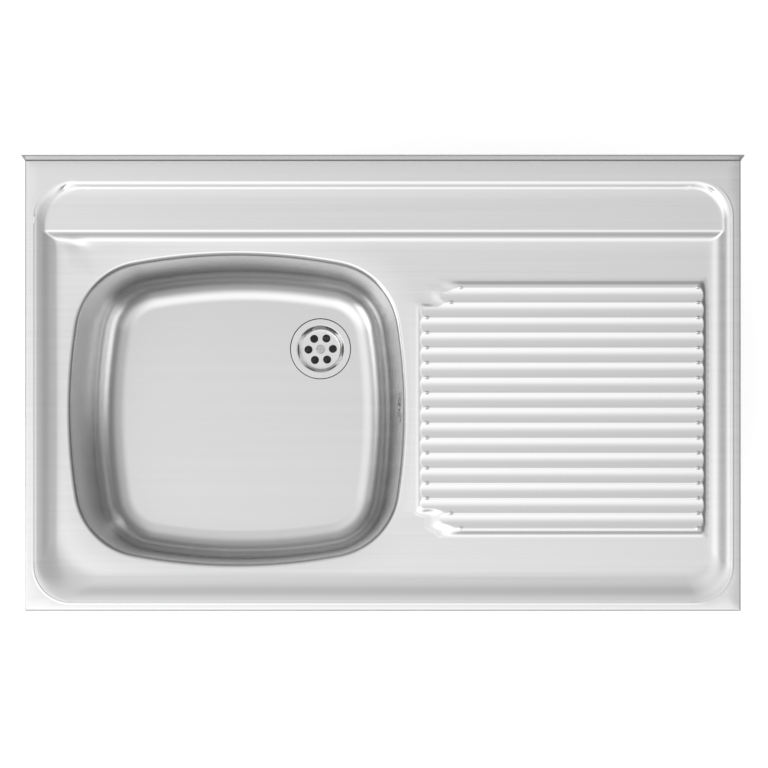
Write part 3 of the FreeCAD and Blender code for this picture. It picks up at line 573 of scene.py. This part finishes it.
def basinRings():
    rings = []
    tall = seamZ - floorZ
    heights = list(np.linspace(seamZ, floorZ + basin["round"], basin["wallRings"]))
    turns = list(np.linspace(0, 90, basin["roundRings"] + 1)[1:])
    for z in heights:
        rings.append((z, 0.0, 0.0))
    for turn in turns:
        angle = math.radians(turn)
        height = floorZ + basin["round"] * (1 - math.sin(angle))
        rings.append((height, basin["round"] * (1 - math.cos(angle)), turn))
    vertices, normals = [], []
    for z, inset, turn in rings:
        outline, ways = bowedRing(inset, (seamZ - z) / tall)
        lean = np.abs(ways) @ np.array([basin["insetX"], basin["insetY"]]) / tall
        angle = math.radians(turn)
        up = lean * math.cos(angle) + math.sin(angle)
        normal = np.column_stack([-ways * math.cos(angle), up])
        vertices.append(toRow(outline, np.full(len(outline), float(z))))
        normals.append(normal / np.linalg.norm(normal, axis=1)[:, None])
    return np.concatenate(vertices), np.concatenate(normals), len(rings)


def buildBasin(material):
    vertices, normals, rings = basinRings()
    count = len(vertices) // rings
    lean = math.atan(basin["insetX"] / (seamZ - floorZ))
    centreZ = trayZ - overflow["drop"]
    centre = np.array([topLow.x + bowlU + mouth["width"] / 2 - (seamZ - centreZ) * math.tan(lean),
                       topLow.y + bowlV + overflow["shift"], centreZ])
    away = np.linalg.norm((vertices - centre) * (0, 1, 1), axis=1)
    onRight = vertices[:, 0] > centre[0] - overflow["reach"]
    sunk = softStep((overflow["radius"] - away) / overflow["softRim"]) * onRight
    vertices = vertices - normals * (sunk * overflow["depth"])[:, None]
    faces = ringFaces(rings, count)
    hidden = onRight & (away < overflow["hole"] + overflow["softRim"])
    faces = [face for face in faces if not all(hidden[i] for i in face)]
    # the floor, from the last ring to the seat's rim
    lastRing = vertices[-count:]
    outerRadius = seat["radius"] + seat["taper"]
    circle = circlePoints(seat["around"])
    low, high = lastRing.min(0), lastRing.max(0)
    grid = gridPoints(*[np.arange(low[i], high[i], floorGrid["step"]) for i in (0, 1)])
    grid = grid[np.hypot(*(grid - drain).T) > outerRadius + floorGrid["fromSeat"]]
    inMouth = mouthDistance(grid[:, 0] - topLow.x, grid[:, 1] - topLow.y)
    inside = inMouth < -basin["round"] - basin["insetX"] - floorGrid["fromWall"]
    seatRim = circle * outerRadius + drain
    flat, floorFaces = triangles(np.concatenate([lastRing[:, :2], seatRim, grid[inside]]))
    outside = np.hypot(*(flat[floorFaces].mean(1) - drain).T) > outerRadius - 0.1
    vertices, faces, normals = withFlat(vertices, faces, normals, flat, floorFaces[outside], floorZ)
    # the seat
    steps = seat["steps"]
    profile = []
    for share in np.linspace(0, 1, steps + 1):
        sunkBy = seat["drop"] * float(softStep(share))
        profile.append((seat["radius"] + seat["taper"] * (1 - share), floorZ - sunkBy))
    profile.append((seat["hole"], floorZ - seat["drop"]))
    first = len(vertices)
    for i, (radius, z) in enumerate(profile):
        turn = 2 * math.pi * min(i / steps, 1)
        slope = seat["drop"] / seat["taper"] * (1 - stepEase * math.cos(turn)) * (i <= steps)
        ring = circle * radius + drain
        vertices = np.concatenate([vertices, np.column_stack([ring, np.full(len(ring), float(z))])])
        normal = np.column_stack([-circle * slope, np.ones(len(circle))])
        normals = np.concatenate([normals, normal / np.linalg.norm(normal, axis=1)[:, None]])
    faces += ringFaces(len(profile), len(circle), first)
    vertices, faces, normals = welded(vertices, faces, normals)
    vertices, faces, normals = offsetShell(vertices, faces, normals, deck["sheet"])
    makePiece("drawnBowl", vertices, faces, material, normals, "satin_bowl", ["bowl"])


def turnedRings(centre, profile, count):
    # rings of a turned surface with their normals, from (radius, height) pairs ordered inward
    circle = circlePoints(count)
    profile = np.array(profile, float)
    run = np.gradient(profile, axis=0)
    vertices, normals = [], []
    for (radius, z), (dr, dz) in zip(profile, run):
        way = np.column_stack([circle * dz, np.full(count, -dr)])
        vertices.append(np.column_stack([circle * radius + centre, np.full(count, z)]))
        normals.append(way / np.linalg.norm(way, axis=1)[:, None])
    return np.concatenate(vertices), np.concatenate(normals)


strainer = {"flange": 35, "edge": 0.4, "flangeDrop": 1.0, "dish": 27.6, "plate": 23.3, "dishDepth": 7,
            "thickness": 1, "sunk": 0.5, "rimRound": 1.4, "footRound": 2.0, "holes": 6, "holeRadius": 4.8,
            "circle": 14.4, "turn": 2, "around": 96, "holeAround": 40, "gridStep": 2.5}


def buildStrainer(material):
    top = floorZ - strainer["sunk"]
    flange, edge = strainer["flange"], strainer["edge"]
    rim, foot = strainer["rimRound"], strainer["footRound"]
    lean = math.atan2(strainer["dishDepth"], strainer["dish"] - strainer["plate"])
    steep = math.degrees(lean)
    rimStart = strainer["dish"] + rim * math.tan(lean / 2)
    footEnd = strainer["plate"] - foot * math.tan(lean / 2)
    profile = [(flange, top - strainer["flangeDrop"]), (flange, top - edge)]
    profile += arcPoints(flange - edge, top - edge, edge, 10, 90, 5)
    profile += [(radius, top) for radius in np.linspace(flange - 1, rimStart + 0.4, 5)]
    profile += arcPoints(rimStart, top - rim, rim, 90, 90 + steep, 9)
    plateZ = top - strainer["dishDepth"]
    profile += arcPoints(footEnd, plateZ + foot, foot, 270 + steep, 270, 9)
    # points that fall together are taken once
    profile = [point for i, point in enumerate(profile)
               if i == 0 or math.dist(point, profile[i - 1]) > 0.02]
    count = strainer["around"]
    vertices, normals = turnedRings(drain, profile, count)
    faces = ringFaces(len(profile), count)
    # the plate with its ring of holes
    small = circlePoints(strainer["holeAround"]) * strainer["holeRadius"]
    turns = math.radians(strainer["turn"]) + np.arange(strainer["holes"]) * 2 * math.pi / strainer["holes"]
    places = [drain + strainer["circle"] * np.array([math.cos(turn), math.sin(turn)]) for turn in turns]
    marks = np.arange(-20, 21, strainer["gridStep"])
    grid = gridPoints(marks, marks)
    grid = grid[np.hypot(*grid.T) < footEnd - 1.5] + drain
    for place in places:
        grid = grid[np.hypot(*(grid - place).T) > strainer["holeRadius"] + 1]
    outlines = [vertices[-count:, :2], grid] + [small + place for place in places]
    flat, plate = triangles(np.concatenate(outlines))
    middles = flat[plate].mean(1)
    solid = np.ones(len(plate), bool)
    for place in places:
        solid &= np.hypot(*(middles - place).T) > strainer["holeRadius"] * 0.995
    vertices, faces, normals = withFlat(vertices, faces, normals, flat, plate[solid], plateZ)
    vertices, faces, normals = welded(vertices, faces, normals)
    vertices, faces, normals = offsetShell(vertices, faces, normals, strainer["thickness"])
    makePiece("wasteStrainer", vertices, faces, material, normals, "polished_steel", ["strainer_cup"])


# the ribbed overflow hose: it drops from the elbow, bends and runs to the waste
hose = {"start": (37.4, -220.4, -63.5), "end": (-30.2, -175.3, -158.5), "bend": 45, "radii": (9.6, 11),
        "pitch": 4, "collar": 12.5, "collarLength": 2.5, "ribShape": 0.6, "around": 36, "step": 0.5}


def buildHose(material):
    start, end = np.array(hose["start"]), np.array(hose["end"])
    way = end - start
    way[2] = 0
    reach = np.linalg.norm(way)
    way = way / reach
    down, bend = np.array([0, 0, -1.0]), hose["bend"]
    drop = start[2] - end[2] - bend
    turned = bend * math.pi / 2
    total = drop + turned + reach - bend
    vertices = []
    circle = circlePoints(hose["around"])
    sideways = np.cross(down, way)
    stations = np.arange(0, total + 0.01, total / round(total / hose["step"]))
    for run in stations:
        if run < drop:
            place, ahead = start + down * run, down
        elif run < drop + turned:
            angle = (run - drop) / bend
            place = start + down * (drop + bend * math.sin(angle)) + way * bend * (1 - math.cos(angle))
            ahead = down * math.cos(angle) + way * math.sin(angle)
        else:
            place, ahead = end - way * (total - run), way
        low, high = hose["radii"]
        rib = (1 - math.cos(2 * math.pi * run / hose["pitch"])) / 2
        radius = low + (high - low) * rib ** hose["ribShape"]
        if min(run, total - run) < hose["collarLength"]:
            radius = hose["collar"]
        vertices.append(place + radius * (circle @ np.array([sideways, np.cross(sideways, ahead)])))
    faces = ringFaces(len(vertices), hose["around"])
    count = hose["around"] * len(vertices)
    faces += [tuple(range(hose["around"] - 1, -1, -1)), tuple(range(count - hose["around"], count))]
    piece = makePiece("ribbedHose", np.concatenate(vertices), faces, material, slot="hose_plastic",
                      replaced=["overflow_hose"])
    faceOutward(piece)
    shadeSmooth(piece, 50)


# the thread round the waste's tail
thread = {"radii": (23.5, 24.25), "pitch": 2.309, "halfWidth": 0.4, "low": -220.6, "high": -185,
          "around": 60}


def buildThread(material):
    low, high = thread["radii"]
    half = thread["pitch"] * thread["halfWidth"]
    turns = (thread["high"] - thread["low"] - thread["pitch"]) / thread["pitch"]
    points = []
    for i in range(int(turns * thread["around"])):
        angle = 2 * math.pi * i / thread["around"]
        middle = thread["low"] + half + thread["pitch"] * i / thread["around"]
        for radius, z in ((low, middle - half), (high, middle), (low, middle + half)):
            points.append((drain[0] + radius * math.cos(angle), drain[1] + radius * math.sin(angle), z))
    faces = []
    for i in range(len(points) // 3 - 1):
        for j in range(3):
            k = (j + 1) % 3
            faces.append((3 * i + j, 3 * i + 3 + j, 3 * i + 3 + k, 3 * i + k))
    faces += [(0, 1, 2), (len(points) - 1, len(points) - 2, len(points) - 3)]
    piece = makePiece("tailThread", points, faces, material, slot="white_plastic")
    shadeSmooth(piece, 30)


# camera: straight above the bowl's front half, its window shifted back over the whole sink
view = {"height": 2900, "lens": 121.7, "backShift": 0.1966, "sideShift": 0.0014, "standV": 84.9}


def addCamera():
    data = bpy.data.cameras.new("camera")
    data.sensor_width = 36
    data.lens = view["lens"]
    data.shift_x = view["sideShift"]
    data.shift_y = view["backShift"]
    camera = bpy.data.objects.new("camera", data)
    camera.location = (0, (topLow.y + view["standV"]) * mm, (deckZ + view["height"]) * mm)
    bpy.context.scene.collection.objects.link(camera)
    bpy.context.scene.camera = camera


# the studio: brightness by direction, as (direction, value) stops along each axis
light = {"brightness": 2.286, "background": 1.0, "horizon": 0.05,
         "rows": ((-1, 1), (-0.8, 0.62), (-0.62, 0.6), (-0.45, 0.86), (-0.2, 0.84), (-0.08, 0.68),
                  (0, 0.57), (0.06, 0.54), (0.15, 0.48), (0.35, 0.5), (0.6, 0.5), (1, 0.8)),
         "columns": ((-1, 0.7), (-0.5, 0.9), (-0.25, 0.85), (0, 0.7), (0.14, 0.68), (0.22, 0.5),
                     (0.4, 0.46), (1, 0.45)),
         "heights": ((0, 0.12), (0.35, 0.32), (0.66, 0.48), (0.82, 1))}


def shaderNode(tree, kind, inputs=None, **settings):
    node = tree.nodes.new(kind)
    for name, value in settings.items():
        setattr(node, name, value)
    for name, value in (inputs or {}).items():
        node.inputs[name].default_value = value
    return node


def addWorld():
    world = bpy.data.worlds.new("studio")
    bpy.context.scene.world = world
    world.use_nodes = True
    tree = world.node_tree
    tree.nodes.clear()
    way = shaderNode(tree, "ShaderNodeTexCoord")
    parts = shaderNode(tree, "ShaderNodeSeparateXYZ")
    tree.links.new(way.outputs["Generated"], parts.inputs[0])
    total = None
    for axis, stops in (("X", light["columns"]), ("Y", light["rows"]), ("Z", light["heights"])):
        spread = shaderNode(tree, "ShaderNodeMapRange", {"From Min": -1.0, "From Max": 1.0})
        tree.links.new(parts.outputs[axis], spread.inputs["Value"])
        ramp = shaderNode(tree, "ShaderNodeValToRGB")
        for i, (position, share) in enumerate(stops):
            stop = ramp.color_ramp.elements[i] if i < 2 else ramp.color_ramp.elements.new(1)
            stop.position = (position + 1) / 2
            stop.color = (share, share, share, 1)
        tree.links.new(spread.outputs[0], ramp.inputs["Fac"])
        times = shaderNode(tree, "ShaderNodeMath", operation="MULTIPLY")
        times.inputs[0].default_value = light["brightness"]
        if total:
            tree.links.new(total, times.inputs[0])
        tree.links.new(ramp.outputs["Color"], times.inputs[1])
        total = times.outputs[0]
    ambient = shaderNode(tree, "ShaderNodeBackground", {"Color": (1, 1, 1, 1)})
    tree.links.new(total, ambient.inputs["Strength"])
    white = shaderNode(tree, "ShaderNodeBackground", {"Color": (1, 1, 1, 1),
                                                      "Strength": light["background"]})
    # the camera sees white all round; metal and clear things see it below the horizon
    below = shaderNode(tree, "ShaderNodeMapRange", {"From Min": -light["horizon"], "From Max": 0.0,
                                                    "To Min": 1.0, "To Max": 0.0})
    tree.links.new(parts.outputs["Z"], below.inputs["Value"])
    path = shaderNode(tree, "ShaderNodeLightPath")
    bent = shaderNode(tree, "ShaderNodeMath", operation="MAXIMUM")
    low = shaderNode(tree, "ShaderNodeMath", operation="MULTIPLY")
    seen = shaderNode(tree, "ShaderNodeMath", operation="MAXIMUM")
    mix = shaderNode(tree, "ShaderNodeMixShader")
    output = shaderNode(tree, "ShaderNodeOutputWorld")
    tree.links.new(path.outputs["Is Glossy Ray"], bent.inputs[0])
    tree.links.new(path.outputs["Is Transmission Ray"], bent.inputs[1])
    tree.links.new(bent.outputs[0], low.inputs[0])
    tree.links.new(below.outputs[0], low.inputs[1])
    tree.links.new(path.outputs["Is Camera Ray"], seen.inputs[0])
    tree.links.new(low.outputs[0], seen.inputs[1])
    tree.links.new(seen.outputs[0], mix.inputs[0])
    tree.links.new(ambient.outputs[0], mix.inputs[1])
    tree.links.new(white.outputs[0], mix.inputs[2])
    tree.links.new(mix.outputs[0], output.inputs["Surface"])


# one soft box at the left, in metres and watts, and the point it faces
boxes = {"left": {"place": (-2.3, -1.0, 1.0), "size": (1.6, 1.1), "power": 12}}
aim = (0, -0.2, 0)


def addPanel(name, place, size, power):
    data = bpy.data.lights.new(name, "AREA")
    data.shape = "RECTANGLE"
    data.size, data.size_y = size
    data.energy = power
    lamp = bpy.data.objects.new(name, data)
    lamp.location = place
    lamp.rotation_euler = (Vector(aim) - Vector(place)).to_track_quat("-Z", "Y").to_euler()
    bpy.context.scene.collection.objects.link(lamp)


# the floor, in metres: its tone, its glow and the share of it that metal sees, and the dark spot
# under the waste
paper = {"size": 30, "below": 0.001, "tone": 0.86, "glow": 0.6, "mirrored": 0.2, "spot": (0.036, 0.06)}


def addFloor():
    place = (drain[0] * mm, drain[1] * mm, cadBounds[0][2] - paper["below"])
    bpy.ops.mesh.primitive_plane_add(size=paper["size"], location=place)
    floor = bpy.context.object
    floor.name = "floor"
    material = bpy.data.materials.new("paper")
    material.use_nodes = True
    tree = material.node_tree
    tree.nodes.clear()
    tone = paper["tone"]
    matt = shaderNode(tree, "ShaderNodeBsdfDiffuse", {"Color": (tone, tone, tone, 1)})
    glow = shaderNode(tree, "ShaderNodeEmission", {"Color": (1, 1, 1, 1)})
    # no glow under the open waste, where the floor would shine up through the strainer
    place = shaderNode(tree, "ShaderNodeTexCoord")
    away = shaderNode(tree, "ShaderNodeVectorMath", operation="LENGTH")
    shade = shaderNode(tree, "ShaderNodeMapRange", {"From Min": paper["spot"][0],
                                                    "From Max": paper["spot"][1], "To Min": 0.0,
                                                    "To Max": paper["glow"]})
    tree.links.new(place.outputs["Object"], away.inputs[0])
    tree.links.new(away.outputs["Value"], shade.inputs["Value"])
    tree.links.new(shade.outputs[0], glow.inputs["Strength"])
    path = shaderNode(tree, "ShaderNodeLightPath")
    # metal sees the floor too, with a share of its glow
    mirrored = shaderNode(tree, "ShaderNodeMath", operation="MULTIPLY")
    mirrored.inputs[1].default_value = paper["mirrored"]
    seen = shaderNode(tree, "ShaderNodeMath", operation="MAXIMUM")
    seenThrough = shaderNode(tree, "ShaderNodeMath", operation="MAXIMUM")
    both = shaderNode(tree, "ShaderNodeAddShader")
    mix = shaderNode(tree, "ShaderNodeMixShader")
    output = shaderNode(tree, "ShaderNodeOutputMaterial")
    tree.links.new(path.outputs["Is Camera Ray"], seen.inputs[0])
    tree.links.new(path.outputs["Is Glossy Ray"], mirrored.inputs[0])
    tree.links.new(mirrored.outputs[0], seen.inputs[1])
    tree.links.new(seen.outputs[0], seenThrough.inputs[0])
    tree.links.new(path.outputs["Is Transmission Ray"], seenThrough.inputs[1])
    tree.links.new(matt.outputs[0], both.inputs[0])
    tree.links.new(glow.outputs[0], both.inputs[1])
    tree.links.new(seenThrough.outputs[0], mix.inputs[0])
    tree.links.new(matt.outputs[0], mix.inputs[1])
    tree.links.new(both.outputs[0], mix.inputs[2])
    tree.links.new(mix.outputs[0], output.inputs["Surface"])
    floor.data.materials.append(material)


# each finish: two tones that a grain wanders between, its roughness, and the grain's scale per metre;
# the upstand's tones are darker than the deck's as painted shade, on the same steel
finishes = {
    "satinSteel": {"tones": ((0.755, 0.755, 0.76), (0.785, 0.785, 0.785)), "roughness": (0.2, 0.25),
                   "metal": 1, "grain": (1.6, 260, 60), "bump": 0.0015, "brushed": 0.5},
    "shadedUprightSteel": {"tones": ((0.43, 0.43, 0.435), (0.47, 0.47, 0.47)), "roughness": (0.2, 0.25),
                     "metal": 1, "grain": (1.6, 260, 60), "bump": 0.0},
    "satinBowl": {"tones": ((0.71, 0.71, 0.715), (0.73, 0.73, 0.73)), "roughness": (0.24, 0.27),
                  "metal": 1, "grain": (1.5, 70, 4), "bump": 0.0},
    "polishedSteel": {"tones": ((0.76, 0.76, 0.76), (0.79, 0.79, 0.785)), "roughness": (0.16, 0.2),
                      "metal": 1, "grain": (40, 40, 40), "bump": 0.0},
    "screwSteel": {"tones": ((0.50, 0.50, 0.50), (0.56, 0.56, 0.555)), "roughness": (0.22, 0.3), "metal": 1,
                   "grain": (200, 200, 200), "bump": 0.0},
    "zincSteel": {"tones": ((0.50, 0.51, 0.53), (0.62, 0.63, 0.65)), "roughness": (0.38, 0.52), "metal": 1,
                  "grain": (90, 90, 90), "bump": 0.02},
    "brass": {"tones": ((0.62, 0.45, 0.20), (0.72, 0.54, 0.27)), "roughness": (0.25, 0.4), "metal": 1,
              "grain": (120, 120, 120), "bump": 0.01},
    "whitePlastic": {"tones": ((0.77, 0.77, 0.75), (0.83, 0.83, 0.81)), "roughness": (0.38, 0.48),
                     "metal": 0, "grain": (200, 200, 200), "bump": 0.02},
    "hosePlastic": {"tones": ((0.70, 0.71, 0.70), (0.77, 0.78, 0.77)), "roughness": (0.42, 0.55),
                    "metal": 0, "grain": (160, 160, 160), "bump": 0.02},
    "sealRubber": {"tones": ((0.025, 0.025, 0.027), (0.045, 0.045, 0.047)), "roughness": (0.6, 0.75),
                   "metal": 0, "grain": (300, 300, 300), "bump": 0.05},
    "dampingPad": {"tones": ((0.035, 0.036, 0.038), (0.07, 0.07, 0.072)), "roughness": (0.7, 0.88),
                   "metal": 0, "grain": (140, 140, 140), "bump": 0.15},
}
worn = {
    "polishedSteel": ["strainer_cup"],
    "screwSteel": ["strainer_screw", "overflow_screw", "overflow_rosette"],
    "zincSteel": ["front_rail", "rear_rail", "drainboard_rail", "front_left_bracket", "front_right_bracket",
                  "rear_left_bracket", "rear_right_bracket", "bracket_rivets"],
    "brass": ["insert_nut"],
    "whitePlastic": ["waste_body", "overflow_elbow", "upper_hose_nut", "lower_hose_nut"],
    "hosePlastic": ["overflow_hose"],
    "sealRubber": ["flange_seal", "waste_gasket", "overflow_gasket", "upper_hose_seal", "lower_hose_seal"],
    "dampingPad": ["bowl_sound_pad", "drainboard_sound_pads"],
}


def finishMaterial(name):
    finish = finishes[name]
    material = bpy.data.materials.new(name)
    material.use_nodes = True
    tree = material.node_tree
    shader = tree.nodes["Principled BSDF"]
    shader.inputs["Metallic"].default_value = finish["metal"]
    place = shaderNode(tree, "ShaderNodeTexCoord")
    stretch = shaderNode(tree, "ShaderNodeMapping", {"Scale": finish["grain"]})
    grain = shaderNode(tree, "ShaderNodeTexNoise", {"Scale": 1.0, "Detail": 4.0, "Roughness": 0.6})
    ramp = shaderNode(tree, "ShaderNodeValToRGB")
    for stop, position, tone in zip(ramp.color_ramp.elements, (0.3, 0.7), finish["tones"]):
        stop.position = position
        stop.color = (*tone, 1)
    gloss = shaderNode(tree, "ShaderNodeMapRange", {"From Min": 0.3, "From Max": 0.7,
                                                    "To Min": finish["roughness"][0],
                                                    "To Max": finish["roughness"][1]})
    tree.links.new(place.outputs["Object"], stretch.inputs["Vector"])
    tree.links.new(stretch.outputs[0], grain.inputs["Vector"])
    tree.links.new(grain.outputs["Fac"], ramp.inputs["Fac"])
    tree.links.new(grain.outputs["Fac"], gloss.inputs["Value"])
    tree.links.new(ramp.outputs["Color"], shader.inputs["Base Color"])
    tree.links.new(gloss.outputs[0], shader.inputs["Roughness"])
    if finish["bump"]:
        relief = shaderNode(tree, "ShaderNodeBump", {"Strength": finish["bump"], "Distance": 0.001})
        tree.links.new(grain.outputs["Fac"], relief.inputs["Height"])
        tree.links.new(relief.outputs[0], shader.inputs["Normal"])
    if "brushed" in finish:
        shader.inputs["Anisotropic"].default_value = finish["brushed"]
        shader.inputs["Anisotropic Rotation"].default_value = 0.25
        tangent = shaderNode(tree, "ShaderNodeTangent", direction_type="UV_MAP", uv_map="grain")
        tree.links.new(tangent.outputs[0], shader.inputs["Tangent"])
    return material


bpy.context.scene.view_settings.view_transform = "Standard"
addCamera()
addWorld()
addFloor()
for name, values in boxes.items():
    addPanel(name, **values)
print("camera and lights are set")
materials = {name: finishMaterial(name) for name in finishes}
for name, dressed in worn.items():
    for node in dressed:
        nodes[node].data.materials.clear()
        nodes[node].data.materials.append(materials[name])
print("finishes are set")
buildTop(materials["satinSteel"], materials["shadedUprightSteel"])
print("the pressed top is built")
buildBasin(materials["satinBowl"])
buildStrainer(materials["polishedSteel"])
print("the bowl is built")
buildHose(materials["hosePlastic"])
buildThread(materials["whitePlastic"])
print("the hose and the thread are built")
